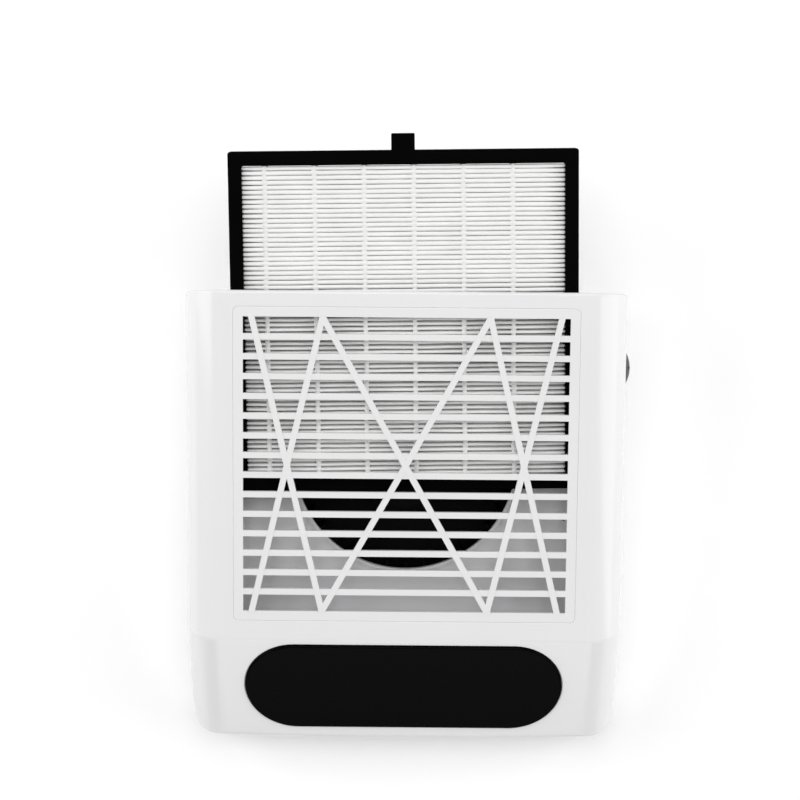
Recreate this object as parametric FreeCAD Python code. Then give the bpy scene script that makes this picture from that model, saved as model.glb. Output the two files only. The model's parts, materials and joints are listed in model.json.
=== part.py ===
import FreeCAD, Part

import math
import os

from FreeCAD import Placement, Rotation, Vector

# Nail dust collector, in millimetres.
# +Z is up, +Y points to the rear, where the filter slides out, and +X is to the right, where the knob is.
# The origin is the centre of the flat underside of the base; the rubber feet stand lower than that.

# ---------------------------------------------------------------- driving dimensions: case
BODY_WIDTH = 250.0
BODY_LENGTH = 257.0
REAR_HEIGHT = 100.0
GRILLE_TILT = 8.0           # degrees, the working face falls towards the user
PALM_SLOPE = 30.5           # degrees, the palm rest falls more steeply
CREASE_FROM_REAR = 198.0    # where the working face turns into the palm rest
PARTING_Z = 22.0            # where upper and lower shell meet
WALL = 2.5
SIDE_R = 22.0               # large rounding along both sides
CREASE_R = 6.0
FRONT_CORNER_R = 13.0
FRONT_DRAW_IN = 2.6         # the sides draw in by this much before the front corners
FRONT_DRAW_LENGTH = 36.0
FRONT_BOW = 1.5             # how far the front edge bulges at its middle
REAR_R = 1.5
LIP_R = 3.0
JOIN_GAP = 0.05             # half the gap between faces that meet

# ---------------------------------------------------------------- driving dimensions: grille
WINDOW_FROM_REAR = 97.9     # from the rear wall to the window's centre
WINDOW_WIDTH = 183.0
WINDOW_LENGTH = 168.1
INSERT_BORDER = 5.6
INSERT_THICK = 2.4
INSERT_CORNER_R = 3.0
INSERT_GAP = 0.03
LEDGE_WIDTH = 3.6
LEDGE_THICK = 2.0
BAR_COUNT = 14
BAR_PITCH = 11.2
BAR_WIDTH = 3.5
DIAGONAL_WIDTH = 3.5
DIAGONAL_PROUD = 0.3
NODE_OUTER_X = 86.7         # where the outer diagonals meet the window's ends
NODE_INNER_X = 46.9

# ---------------------------------------------------------------- driving dimensions: filter
FILTER_WIDTH = 194.8
FILTER_LENGTH = 191.2
FILTER_FRAME_THICK = 12.0
FILTER_BAR_SIDE = 7.4
FILTER_BAR_END = 8.0
FILTER_TOP_W = -5.5         # its upper face, under the outer face of the grille
FILTER_DRAWN_OUT = 78.7     # how far it stands out of its slot at rest
FILTER_ASKEW = 1.1          # degrees, it lies a little askew, within the play of its slot
ASKEW_PIVOT_V = 25.0        # where its own middle line crosses the case's
GASKET_THICK = 2.0
GASKET_WIDTH = 6.0
TAB_WIDTH = 13.1
TAB_LENGTH = 9.3
TAB_THICK = 5.0
PLEAT_COUNT = 66
PLEAT_DEPTH = 10.0
PAPER_THICK = 0.6
BEAD_COUNT = 6
BEAD_PITCH = 27.65
BEAD_FIRST = 12.7           # from the inside of the left frame bar
BEAD_WIDTH = 2.8
BEAD_HEIGHT = 0.7

# ---------------------------------------------------------------- driving dimensions: filter tray and fan
TRAY_CLEAR = 3.6            # beside the filter
TRAY_WALL = 2.0
TRAY_PLATE_TOP_W = -21.5
SKID_HEIGHT = 1.6
FAN_INLET_R = 63.5
INLET_LIP = 1.8
SCROLL_START_R = 81.0
SCROLL_END_R = 104.0
SCROLL_WALL = 2.0
SCROLL_FLOOR_W = -54.0
OUTLET_INNER_X = -38.0
OUTLET_END_V = 85.0
IMPELLER_R = 75.0
BLADE_INNER_R = 61.0
BLADE_COUNT = 36
BLADE_THICK = 1.2
BACK_PLATE = 1.6
IMPELLER_BASE_W = -52.0
IMPELLER_TOP_W = -28.0
HUB_R = 29.0
SHAFT_R = 2.0
BEARING_R = 4.0
BEARING_WIDTH = 3.0
RUNNING_GAP = 0.05

# ---------------------------------------------------------------- driving dimensions: panel and controls
PANEL_WIDTH = 182.8
PANEL_LENGTH = 58.8
PANEL_FROM_CREASE = 3.4
PANEL_GAP = 0.2
PANEL_RECESS = 1.2
RECESS_EDGE_R = 0.6
INSERT_EDGE_R = 0.35
PANEL_PROUD = 1.3
TAPE_THICK = 0.4
KNOB_FROM_REAR = 40.7
KNOB_Z = 48.0
KNOB_R = 11.0
KNOB_PROUD = 4.8
KNOB_DOME_R = 19.2
KNOB_FLUTES = 18
KNOB_RECESS_R = 14.5
KNOB_RECESS_DEPTH = 4.5
POT_SHAFT_R = 3.0
VENT_WIDTH = 176.0
VENT_HEIGHT = 34.0
VENT_MIDDLE_Z = 51.0
VENT_GAP = 0.3
SOCKET_X = 100.0
SOCKET_Z = 30.0
SOCKET_BORE_R = 2.85
BOARD_MIDDLE = Vector(76.0, 88.0, 0)
BOARD_WIDTH = 60.0
BOARD_LENGTH = 44.0
BOARD_THICK = 1.6
BOARD_Z = 9.2
FOOT_R = 8.0
FOOT_STANDS = 2.5
FOOT_RECESS = 1.0
FOOT_POINTS = [(100, 98), (-100, 98), (100, -92), (-100, -92)]
BOSS_POINTS = [(114, 115), (-114, 115), (114, 0), (-114, 0), (108, -106), (-108, -106)]
BOSS_R = 4.5

REAR = BODY_LENGTH / 2
HALF = BODY_WIDTH / 2
CREASE_Y = REAR - CREASE_FROM_REAR
TAN_GRILLE = math.tan(math.radians(GRILLE_TILT))
TAN_PALM = math.tan(math.radians(PALM_SLOPE))
CREASE_Z = REAR_HEIGHT - CREASE_FROM_REAR * TAN_GRILLE
X, Y, Z = Vector(1, 0, 0), Vector(0, 1, 0), Vector(0, 0, 1)

# Two tilted frames. In both, x stays across the case and z stands out of the surface.
# The grille frame starts at the window's centre, the palm frame at the crease; y climbs to the rear.
GRILLE_FRAME = Placement(Vector(0, REAR - WINDOW_FROM_REAR, REAR_HEIGHT - WINDOW_FROM_REAR * TAN_GRILLE),
                         Rotation(X, GRILLE_TILT))
PALM_FRAME = Placement(Vector(0, CREASE_Y, CREASE_Z), Rotation(X, PALM_SLOPE))


# ---------------------------------------------------------------- small helpers
def block(x0, x1, y0, y1, z0, z1):
    return Part.makeBox(x1 - x0, y1 - y0, z1 - z0, Vector(x0, y0, z0))


def rod(radius, start, end):
    along = end - start
    return Part.makeCylinder(radius, along.Length, start, along)


def upright(radius, z0, z1):
    return rod(radius, Vector(0, 0, z0), Vector(0, 0, z1))


def ring(outer, inner, z0, z1):
    return upright(outer, z0, z1).cut(upright(inner, z0, z1))


def middle(edge):
    return edge.valueAt((edge.FirstParameter + edge.LastParameter) / 2)


def rounded_block(width, length, radius, z0, z1):
    """A block centred on the z axis whose upright edges are rounded."""
    plain = block(-width / 2, width / 2, -length / 2, length / 2, z0, z1)
    return plain.makeFillet(radius, [e for e in plain.Edges if e.Vertexes[0].Z != e.Vertexes[1].Z])


def bar(x0, y0, x1, y1, width, z0, z1):
    """A straight flat bar between two points of a plane."""
    along = Vector(x1 - x0, y1 - y0, 0)
    flat = block(0, along.Length, -width / 2, width / 2, z0, z1)
    flat.Placement = Placement(Vector(x0, y0, 0), Rotation(X, along))
    return flat


def turned(shape, angle, axis=Z):
    copy = shape.copy()
    copy.rotate(Vector(0, 0, 0), axis, angle)
    return copy


def moved(shape, x, y, z):
    copy = shape.copy()
    copy.translate(Vector(x, y, z))
    return copy


def placed(shape, frame):
    """The shape carried from a tilted frame into the case's frame."""
    return shape.transformed(frame.toMatrix(), True)


def fused(shapes):
    return shapes[0].multiFuse(shapes[1:]).removeSplitter()


def save(node, shapes):
    """Writes one node; a list becomes a group of separate solids."""
    whole = shapes if isinstance(shapes, Part.Shape) else Part.makeCompound(shapes)
    whole.exportStep(f"parts/{node}.step")


# ---------------------------------------------------------------- case form
def plan_prism(inset, z0, z1):
    """The case's outline seen from above, inset all round and raised from z0 to z1."""
    side, rear, front = HALF - inset, REAR - inset, -REAR + inset
    corner = FRONT_CORNER_R - inset
    turn = math.atan(FRONT_DRAW_IN / FRONT_DRAW_LENGTH)
    halfway = (turn + math.pi / 2) / 2
    drawn_x, drawn_y = side - FRONT_DRAW_IN, front + corner * (1 - math.sin(turn))
    corner_x, corner_y = drawn_x - corner * math.cos(turn), front + corner

    def front_corner(sign):
        """The straight that draws the side in, then three points of the corner's arc."""
        points = [(side, drawn_y + FRONT_DRAW_LENGTH), (drawn_x, drawn_y),
                  (corner_x + corner * math.cos(halfway), corner_y - corner * math.sin(halfway)),
                  (corner_x, front)]
        return [Vector(sign * x, y, z0) for x, y in points]

    left, right = front_corner(-1), front_corner(1)
    rear_left, rear_right = Vector(-side, rear, z0), Vector(side, rear, z0)
    edges = [Part.LineSegment(right[0], rear_right), Part.LineSegment(rear_right, rear_left),
             Part.LineSegment(rear_left, left[0]), Part.LineSegment(left[0], left[1]), Part.Arc(*left[1:4]),
             Part.Arc(left[3], Vector(0, front - FRONT_BOW, z0), right[3]),
             Part.Arc(*right[3:0:-1]), Part.LineSegment(right[1], right[0])]
    outline = Part.Wire([edge.toShape() for edge in edges])
    return Part.Face(outline).extrude(Vector(0, 0, z1 - z0))


def wedge(inset):
    """The two tilted faces with their crease and rounded sides, longer than the case at both ends."""
    side, spare, bottom = HALF - inset, 20.0, -20.0
    drop_grille = inset / math.cos(math.radians(GRILLE_TILT))
    drop_palm = inset / math.cos(math.radians(PALM_SLOPE))
    shift = (drop_palm - drop_grille) / (TAN_PALM - TAN_GRILLE)
    crease_y, crease_z = CREASE_Y + shift, CREASE_Z - drop_grille + shift * TAN_GRILLE
    rear, front = REAR + spare, -REAR - spare
    profile = [Vector(-side, rear, bottom),
               Vector(-side, rear, crease_z + (rear - crease_y) * TAN_GRILLE),
               Vector(-side, crease_y, crease_z),
               Vector(-side, front, crease_z - (crease_y - front) * TAN_PALM),
               Vector(-side, front, bottom)]
    form = Part.Face(Part.makePolygon(profile + profile[:1])).extrude(Vector(2 * side, 0, 0))

    def along_the_side(edge):
        point = middle(edge)
        on_the_side = abs(abs(point.x) - side) < 1e-6
        return on_the_side and front + 1 < point.y < rear - 1 and point.z > bottom + 1

    form = form.makeFillet(SIDE_R - inset, [e for e in form.Edges if along_the_side(e)])

    def at_the_crease(edge):
        ends = [vertex.Point for vertex in edge.Vertexes]
        return abs(ends[0].x - ends[-1].x) > 1 and all(abs(end.y - crease_y) < SIDE_R / 2 for end in ends)

    return form.makeFillet(CREASE_R - inset, [e for e in form.Edges if at_the_crease(e)])


def outer_form():
    """The case's outside, with its front lip and rear edges rounded."""
    form = wedge(0).common(plan_prism(0, 0, REAR_HEIGHT + 5)).Solids[0]
    rear_edges = [e for e in form.Edges if abs(middle(e).y - REAR) < 1e-6 and middle(e).z > 1]
    form = form.makeFillet(REAR_R, rear_edges)

    def on_the_lip(edge):
        point = middle(edge)
        return point.y < -REAR + 10 and point.z > PARTING_Z and edge.Curve.TypeId != "Part::GeomLine"

    return form.makeFillet(LIP_R, [e for e in form.Edges if on_the_lip(e)])


def inner_form():
    return wedge(WALL).common(plan_prism(WALL, PARTING_Z - 1, REAR_HEIGHT)).Solids[0]


# ---------------------------------------------------------------- upper shell
def stadium(grow, z0, z1):
    """The palm panel's outline in the palm frame; its rear corners are a little tighter."""
    side = PANEL_WIDTH / 2 + grow
    top, bottom = -PANEL_FROM_CREASE + grow, -PANEL_FROM_CREASE - PANEL_LENGTH - grow
    r_top = PANEL_LENGTH / 2 - 1.0 + grow
    r_bottom = top - bottom - r_top
    widest = top - r_top
    c = math.sqrt(0.5)
    ends = []
    for sign in (1, -1):
        ends.append([Vector(sign * (side - r_top), top, z0),
                     Vector(sign * (side - r_top * (1 - c)), widest + r_top * c, z0),
                     Vector(sign * side, widest, z0),
                     Vector(sign * (side - r_bottom * (1 - c)), widest - r_bottom * c, z0),
                     Vector(sign * (side - r_bottom), bottom, z0)])
    right, left = ends
    edges = [Part.Arc(*right[0:3]), Part.Arc(*right[2:5]), Part.LineSegment(right[4], left[4]),
             Part.Arc(*left[4:1:-1]), Part.Arc(*left[2::-1]), Part.LineSegment(left[0], right[0])]
    outline = Part.Wire([edge.toShape() for edge in edges])
    return Part.Face(outline).extrude(Vector(0, 0, z1 - z0))


def insert_size(grow):
    return WINDOW_WIDTH + 2 * INSERT_BORDER + 2 * grow, WINDOW_LENGTH + 2 * INSERT_BORDER + 2 * grow


TRAY_HALF = FILTER_WIDTH / 2 + TRAY_CLEAR
TRAY_BOTTOM_W = TRAY_PLATE_TOP_W - TRAY_WALL
TRAY_FRONT_V = WINDOW_FROM_REAR - FILTER_LENGTH - 2.9
TRAY_EAR_POINTS = [(109.5, 66), (-109.5, 66), (109.5, -62), (-109.5, -62)]
TRAY_EAR_R = 5.0
SCREW_R = 1.5
SCREW_HOLE_R = 1.6
KNOB_Y = REAR - KNOB_FROM_REAR
RECESS_FLOOR_X = HALF - KNOB_RECESS_DEPTH
POT_WALL = 4.0


def knob_point(x):
    return Vector(x, KNOB_Y, KNOB_Z)


def upper_shell():
    inside = inner_form()
    shell = outer_form().cut(inside)
    shell = shell.cut(block(-HALF - 5, HALF + 5, -REAR - 5, REAR + 5, -1, PARTING_Z + JOIN_GAP))

    # the ledge that the grille insert lies on
    width, length = insert_size(INSERT_GAP)
    hole_width, hole_length = width - 2 * LEDGE_WIDTH, length - 2 * LEDGE_WIDTH
    ledge = block(-width / 2 - 2, width / 2 + 2, -length / 2 - 2, length / 2 + 2,
                  -WALL - LEDGE_THICK, -WALL)
    added = [placed(ledge, GRILLE_FRAME)]

    # screw bosses for the lower shell, ribbed to the side walls, and for the filter tray
    for x, y in BOSS_POINTS:
        sign = math.copysign(1, x)
        column = rod(BOSS_R, Vector(x, y, PARTING_Z + JOIN_GAP), Vector(x, y, REAR_HEIGHT))
        rib = block(*sorted((x, sign * HALF)), y - 1, y + 1, PARTING_Z + 4, REAR_HEIGHT)
        added.append(column.fuse(rib).common(inside))
    for x, y in TRAY_EAR_POINTS:
        hanger = rod(TRAY_EAR_R - 1, Vector(x, y, TRAY_PLATE_TOP_W + JOIN_GAP), Vector(x, y, 0))
        added.append(placed(hanger, GRILLE_FRAME).common(inside))
    added.append(rod(KNOB_RECESS_R + 3, knob_point(RECESS_FLOOR_X - POT_WALL), knob_point(HALF - 1)))
    shell = fused([shell] + added)

    socket_hole = Vector(SOCKET_X, REAR - 5, SOCKET_Z)
    cuts = [placed(rounded_block(width, length, INSERT_CORNER_R + INSERT_GAP, -WALL, 5), GRILLE_FRAME),
            placed(rounded_block(hole_width, hole_length, 2, -10, 5), GRILLE_FRAME),
            placed(filter_slot(), GRILLE_FRAME),
            placed(stadium(PANEL_GAP, -PANEL_RECESS, 10), PALM_FRAME),
            rod(KNOB_RECESS_R, knob_point(RECESS_FLOOR_X), knob_point(HALF + 5)),
            rod(POT_SHAFT_R + 0.7, knob_point(HALF - 20), knob_point(HALF)),
            vent_opening(VENT_WIDTH, VENT_HEIGHT, REAR - 5, REAR + 5),
            rod(SOCKET_BORE_R + 1.4, socket_hole, socket_hole + Y * 10)]
    for x, y in BOSS_POINTS:
        cuts.append(rod(SCREW_HOLE_R, Vector(x, y, PARTING_Z - 1), Vector(x, y, PARTING_Z + 12)))
    for x, y in TRAY_EAR_POINTS:
        hole = rod(SCREW_HOLE_R, Vector(x, y, TRAY_PLATE_TOP_W - 1), Vector(x, y, -12))
        cuts.append(placed(hole, GRILLE_FRAME))
    for cut in cuts:
        shell = shell.cut(cut)

    to_palm, to_grille = PALM_FRAME.inverse(), GRILLE_FRAME.inverse()

    def round_the_panel(edge):
        point = to_palm.multVec(middle(edge))
        return abs(point.z) < 0.01 and abs(point.x) < PANEL_WIDTH / 2 + 1 and -PANEL_LENGTH - 4 < point.y < -3

    def round_the_insert(edge):
        point = to_grille.multVec(middle(edge))
        return abs(point.z) < 0.01 and abs(point.x) < width / 2 + 1 and abs(point.y) < length / 2 + 1

    shell = shell.Solids[0]
    shell = shell.makeFillet(RECESS_EDGE_R, [e for e in shell.Edges if round_the_panel(e)])
    return shell.makeFillet(INSERT_EDGE_R, [e for e in shell.Edges if round_the_insert(e)])


def filter_slot():
    """The slanted opening in the rear wall that the filter slides through, with rounded corners."""
    low = TRAY_PLATE_TOP_W + SKID_HEIGHT - 0.3
    high = -WALL - LEDGE_THICK - 0.1
    plain = block(-TRAY_HALF, TRAY_HALF, WINDOW_LENGTH / 2 + 5, WINDOW_LENGTH / 2 + 25, low, high)
    return plain.makeFillet(1.0, [e for e in plain.Edges if e.Vertexes[0].Y != e.Vertexes[1].Y])


def vent_opening(width, height, y0, y1):
    flat = rounded_block(width, height, 3.0, -y1, -y0)
    return moved(turned(flat, 90, X), 0, 0, VENT_MIDDLE_Z)


# ---------------------------------------------------------------- lower shell
LOWER_WALL = WALL + 1.6
FLOOR = 2.5
SCREW_SEAT_Z = 12.0
SCREW_HEAD_R = 2.9


def board_corners():
    for side in (-1, 1):
        for end in (-1, 1):
            yield BOARD_MIDDLE + Vector(side * (BOARD_WIDTH / 2 - 4), end * (BOARD_LENGTH / 2 - 4), 0)


def lower_shell():
    """The base: a tray with a groove all round its parting line and a rim that enters the upper shell."""
    groove = 0.8
    shell = plan_prism(0, 0, PARTING_Z - groove)

    def at_a_rear_corner(edge):
        point = middle(edge)
        return abs(point.y - REAR) < 1e-6 and abs(abs(point.x) - HALF) < 1e-6

    shell = shell.makeFillet(REAR_R, [e for e in shell.Edges if at_a_rear_corner(e)])
    shell = shell.makeFillet(LIP_R, [e for e in shell.Edges if abs(middle(e).z) < 1e-6])
    shell = shell.fuse(plan_prism(groove, PARTING_Z - groove - 1, PARTING_Z - JOIN_GAP))
    shell = shell.fuse(plan_prism(WALL + 0.25, PARTING_Z - 5, PARTING_Z + 2.5))
    shell = shell.cut(plan_prism(LOWER_WALL, FLOOR, PARTING_Z + 5))
    added = [rod(BOSS_R, Vector(x, y, FLOOR), Vector(x, y, PARTING_Z - JOIN_GAP)) for x, y in BOSS_POINTS]
    added += [rod(3.0, Vector(p.x, p.y, FLOOR), Vector(p.x, p.y, BOARD_Z)) for p in board_corners()]
    shell = fused([shell] + added)
    cuts = []
    for x, y in BOSS_POINTS:
        cuts.append(rod(SCREW_HEAD_R + 0.5, Vector(x, y, -1), Vector(x, y, SCREW_SEAT_Z)))
        cuts.append(rod(SCREW_HOLE_R, Vector(x, y, 0), Vector(x, y, PARTING_Z + 5)))
    for point in board_corners():
        cuts.append(rod(1.3, Vector(point.x, point.y, 3.0), Vector(point.x, point.y, BOARD_Z + 1)))
    for x, y in FOOT_POINTS:
        cuts.append(rod(FOOT_R + 0.2, Vector(x, y, -1), Vector(x, y, FOOT_RECESS)))
    for row in (-1, 1):
        for step in range(9):
            slot_x, slot_y = (step - 4) * 9.0, 10 + row * 24.0
            cuts.append(moved(rounded_block(3.2, 36, 1.5, -1, FLOOR + 1), slot_x, slot_y, 0))
    for cut in cuts:
        shell = shell.cut(cut)
    return shell.Solids[0]


# ---------------------------------------------------------------- grille insert
def grille_insert():
    """A flat moulded plate: cross bars and three tall crosses in one window, in the grille frame."""
    low, high = -INSERT_THICK - JOIN_GAP, -JOIN_GAP
    width, length = insert_size(0)
    plate = rounded_block(width, length, INSERT_CORNER_R, low, high)
    plate = plate.makeFillet(0.4, [e for e in plate.Edges if abs(middle(e).z - high) < 1e-6])
    half_width, half_length = WINDOW_WIDTH / 2, WINDOW_LENGTH / 2
    plate = plate.cut(block(-half_width, half_width, -half_length, half_length, low - 1, high + 1))
    bars = []
    for row in range(BAR_COUNT):
        y = (row - (BAR_COUNT - 1) / 2) * BAR_PITCH
        bars.append(bar(-half_width - 1, y, half_width + 1, y, BAR_WIDTH, low, high))
    ends = [(-NODE_OUTER_X, -NODE_INNER_X), (-NODE_INNER_X, -NODE_OUTER_X), (-NODE_INNER_X, NODE_INNER_X),
            (NODE_INNER_X, -NODE_INNER_X), (NODE_INNER_X, NODE_OUTER_X), (NODE_OUTER_X, NODE_INNER_X)]
    reach = 1.15                                   # the bars run on into the border and are trimmed there
    for top_x, bottom_x in ends:
        centre, lean = (top_x + bottom_x) / 2, (top_x - bottom_x) / 2 * reach
        y = half_length * reach
        bars.append(bar(centre - lean, -y, centre + lean, y, DIAGONAL_WIDTH, low, high + DIAGONAL_PROUD))
    trim = block(-half_width - 0.5, half_width + 0.5, -half_length - 0.5, half_length + 0.5, low, high + 1)
    lattice = fused(bars).common(trim)
    return placed(fused([plate, lattice]), GRILLE_FRAME)


def palm_panel():
    face = stadium(0, -PANEL_RECESS + TAPE_THICK + JOIN_GAP, PANEL_PROUD)
    face = face.makeFillet(1.2, [e for e in face.Edges if abs(middle(e).z - PANEL_PROUD) < 1e-6])
    return placed(face, PALM_FRAME)


def palm_panel_tape():
    return placed(stadium(-2.0, -PANEL_RECESS + 0.02, -PANEL_RECESS + TAPE_THICK), PALM_FRAME)


# ---------------------------------------------------------------- filter cartridge
FILTER_BOTTOM_W = FILTER_TOP_W - FILTER_FRAME_THICK
FILTER_MIDDLE_V = WINDOW_FROM_REAR + FILTER_DRAWN_OUT + 0.1 - FILTER_LENGTH / 2
PAPER_WIDTH = FILTER_WIDTH - 2 * FILTER_BAR_SIDE - 0.2
PAPER_LENGTH = FILTER_LENGTH - 2 * FILTER_BAR_END - 0.2


def in_filter(shape):
    """Carries a part of the cartridge, made about its own middle, to where the cartridge lies."""
    laid = moved(shape, 0, FILTER_MIDDLE_V, 0)
    laid.rotate(Vector(0, ASKEW_PIVOT_V, 0), Z, FILTER_ASKEW)
    return placed(laid, GRILLE_FRAME)


def filter_frame():
    frame = rounded_block(FILTER_WIDTH, FILTER_LENGTH, 1.5, FILTER_BOTTOM_W, FILTER_TOP_W)
    half = FILTER_LENGTH / 2
    tab = block(-TAB_WIDTH / 2, TAB_WIDTH / 2, half - 2, half + TAB_LENGTH,
                FILTER_TOP_W - TAB_THICK, FILTER_TOP_W)
    tab = tab.makeFillet(0.8, [e for e in tab.Edges if middle(e).y > half + TAB_LENGTH - 0.01])
    frame = frame.fuse(tab)
    hole_x, hole_y = FILTER_WIDTH / 2 - FILTER_BAR_SIDE, half - FILTER_BAR_END
    frame = frame.cut(block(-hole_x, hole_x, -hole_y, hole_y, FILTER_BOTTOM_W - 1, FILTER_TOP_W + 1))
    return in_filter(frame.removeSplitter())


def filter_media():
    """Folded paper: one zigzag strip whose folds run across the filter."""
    pitch = PAPER_LENGTH / PLEAT_COUNT
    high = FILTER_TOP_W - 1.0
    low = high - PLEAT_DEPTH
    top = []
    for step in range(2 * PLEAT_COUNT + 1):
        y = -PAPER_LENGTH / 2 + step * pitch / 2
        top.append(Vector(-PAPER_WIDTH / 2, y, high if step % 2 else low + PAPER_THICK))
    bottom = [point - Vector(0, 0, PAPER_THICK) for point in reversed(top)]
    strip = Part.Face(Part.makePolygon(top + bottom + top[:1]))
    return in_filter(strip.extrude(Vector(PAPER_WIDTH, 0, 0)))


def filter_glue_beads():
    """Hot-melt beads across the folds, on both faces of the paper."""
    high = FILTER_TOP_W - 1.0 + JOIN_GAP
    low = FILTER_TOP_W - 1.0 - PLEAT_DEPTH - JOIN_GAP
    beads = []
    for step in range(BEAD_COUNT):
        x = -PAPER_WIDTH / 2 + BEAD_FIRST + step * BEAD_PITCH
        for z0 in (high, low - BEAD_HEIGHT):
            bead = block(x - BEAD_WIDTH / 2, x + BEAD_WIDTH / 2, -PAPER_LENGTH / 2, PAPER_LENGTH / 2,
                         z0, z0 + BEAD_HEIGHT)
            beads.append(in_filter(bead))
    return beads


def filter_gasket():
    width, length = FILTER_WIDTH - 1, FILTER_LENGTH - 1
    strip = rounded_block(width, length, 1.5, FILTER_BOTTOM_W - GASKET_THICK, FILTER_BOTTOM_W)
    hole = rounded_block(width - 2 * GASKET_WIDTH, length - 2 * GASKET_WIDTH, 1.0,
                         FILTER_BOTTOM_W - 5, FILTER_BOTTOM_W + 5)
    return in_filter(strip.cut(hole))


# ---------------------------------------------------------------- filter tray
def scroll_radius(angle, start, grow):
    """The fan housing widens evenly from the tongue, clockwise, to the outlet."""
    turned_by = (start - angle) / (start + math.pi)
    return SCROLL_START_R + grow + (SCROLL_END_R - SCROLL_START_R) * turned_by


def scroll_start(grow):
    return math.acos((OUTLET_INNER_X + grow) / (SCROLL_START_R + grow))


def lug_points():
    start = scroll_start(0)
    for angle in (70, -20, -110):
        radius = scroll_radius(math.radians(angle), start, SCROLL_WALL + 3.4)
        yield Vector(radius * math.cos(math.radians(angle)), radius * math.sin(math.radians(angle)), 0)


def filter_tray():
    """The plate under the filter: it guides the filter at both sides and carries the fan's inlet."""
    outer = TRAY_HALF + TRAY_WALL
    rear_v = 92.0
    wall_top = -WALL - LEDGE_THICK - 0.5
    front = TRAY_FRONT_V - TRAY_WALL
    parts = [block(-outer, outer, front, rear_v, TRAY_BOTTOM_W, TRAY_PLATE_TOP_W),
             block(-outer, outer, front, TRAY_FRONT_V, TRAY_BOTTOM_W, wall_top)]
    for sign in (-1, 1):
        wall_x = sorted((sign * TRAY_HALF, sign * outer))
        skid_x = sorted((sign * (TRAY_HALF - 8), sign * (TRAY_HALF - 6)))
        parts.append(block(*wall_x, front, rear_v, TRAY_BOTTOM_W, wall_top))
        parts.append(block(*skid_x, TRAY_FRONT_V, rear_v,
                           TRAY_PLATE_TOP_W - 0.5, TRAY_PLATE_TOP_W + SKID_HEIGHT))
    for x, y in TRAY_EAR_POINTS:
        inner_x = math.copysign(outer - 1, x)
        parts.append(rod(TRAY_EAR_R, Vector(x, y, TRAY_BOTTOM_W), Vector(x, y, TRAY_PLATE_TOP_W)))
        parts.append(block(*sorted((x, inner_x)), y - TRAY_EAR_R, y + TRAY_EAR_R,
                           TRAY_BOTTOM_W, TRAY_PLATE_TOP_W))
    parts.append(upright(FAN_INLET_R + INLET_LIP, TRAY_BOTTOM_W, TRAY_PLATE_TOP_W + 1.2))
    tray = fused(parts)
    tray = tray.cut(upright(FAN_INLET_R, -40, 0))
    for point in list(lug_points()) + [Vector(x, y, 0) for x, y in TRAY_EAR_POINTS]:
        tray = tray.cut(rod(SCREW_HOLE_R, point + Z * -40, point + Z * -10))
    return placed(tray.Solids[0], GRILLE_FRAME)


# ---------------------------------------------------------------- fan
def scroll_prism(grow, end_v, z0, z1):
    """The air path of the fan housing: a spiral that opens into a straight outlet towards the rear."""
    start = scroll_start(grow)
    steps = 24
    points = []
    for step in range(steps + 1):
        angle = start - (start + math.pi) * step / steps
        radius = scroll_radius(angle, start, grow)
        points.append(Vector(radius * math.cos(angle), radius * math.sin(angle), z0))
    spiral = Part.BSplineCurve()
    spiral.interpolate(points)
    outer_corner = Vector(points[-1].x, end_v, z0)
    inner_corner = Vector(points[0].x, end_v, z0)
    edges = [spiral, Part.LineSegment(points[-1], outer_corner),
             Part.LineSegment(outer_corner, inner_corner), Part.LineSegment(inner_corner, points[0])]
    outline = Part.Wire([edge.toShape() for edge in edges])
    return Part.Face(outline).extrude(Vector(0, 0, z1 - z0))


MOTOR_SCREW_R = 27.0
LUG_HEIGHT = 8.0


def motor_screw_points():
    for step in range(3):
        angle = math.radians(30 + 120 * step)
        yield Vector(MOTOR_SCREW_R * math.cos(angle), MOTOR_SCREW_R * math.sin(angle), 0)


def fan_scroll():
    top = TRAY_BOTTOM_W - JOIN_GAP
    housing = scroll_prism(SCROLL_WALL, OUTLET_END_V, SCROLL_FLOOR_W - SCROLL_WALL, top)
    housing = fused([housing] + [rod(4.0, p + Z * (top - LUG_HEIGHT), p + Z * top) for p in lug_points()])
    housing = housing.cut(scroll_prism(0, OUTLET_END_V + 5, SCROLL_FLOOR_W, top + 1))
    housing = housing.cut(upright(7.0, -70, -40))
    for point in lug_points():
        housing = housing.cut(rod(SCREW_HOLE_R, point + Z * -40, point + Z * -10))
    for point in motor_screw_points():
        housing = housing.cut(rod(1.3, point + Z * -70, point + Z * -40))
    return placed(housing.Solids[0], GRILLE_FRAME)


def blade(low, high):
    """One blade: a thin curved strip that leans forward as it leaves the wheel."""
    mean = (IMPELLER_R + BLADE_INNER_R) / 2
    bulge = 2.0
    outer_end = Vector(IMPELLER_R - 1.0, -5.0, low)
    inner_end = Vector(BLADE_INNER_R, 0, low)
    crest = Vector(mean, -bulge + 1.5, low)
    side = Vector(0, BLADE_THICK, 0)
    edges = [Part.Arc(inner_end, crest, outer_end),
             Part.LineSegment(outer_end, outer_end + side),
             Part.Arc(outer_end + side, crest + side, inner_end + side),
             Part.LineSegment(inner_end + side, inner_end)]
    outline = Part.Wire([edge.toShape() for edge in edges])
    return Part.Face(outline).extrude(Vector(0, 0, high - low))


def blade_ring():
    """The ring of blades between a foot ring, which is welded to the wheel's back plate, and a top ring."""
    top = IMPELLER_TOP_W
    foot = IMPELLER_BASE_W + BACK_PLATE + JOIN_GAP
    parts = [ring(IMPELLER_R, BLADE_INNER_R - 1, foot, foot + 1.0),
             ring(IMPELLER_R, IMPELLER_R - 4, top - 1.6, top)]
    one = blade(foot + 0.5, top)
    parts += [turned(one, 360.0 * step / BLADE_COUNT) for step in range(BLADE_COUNT)]
    return placed(fused(parts).Solids[0], GRILLE_FRAME)


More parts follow.
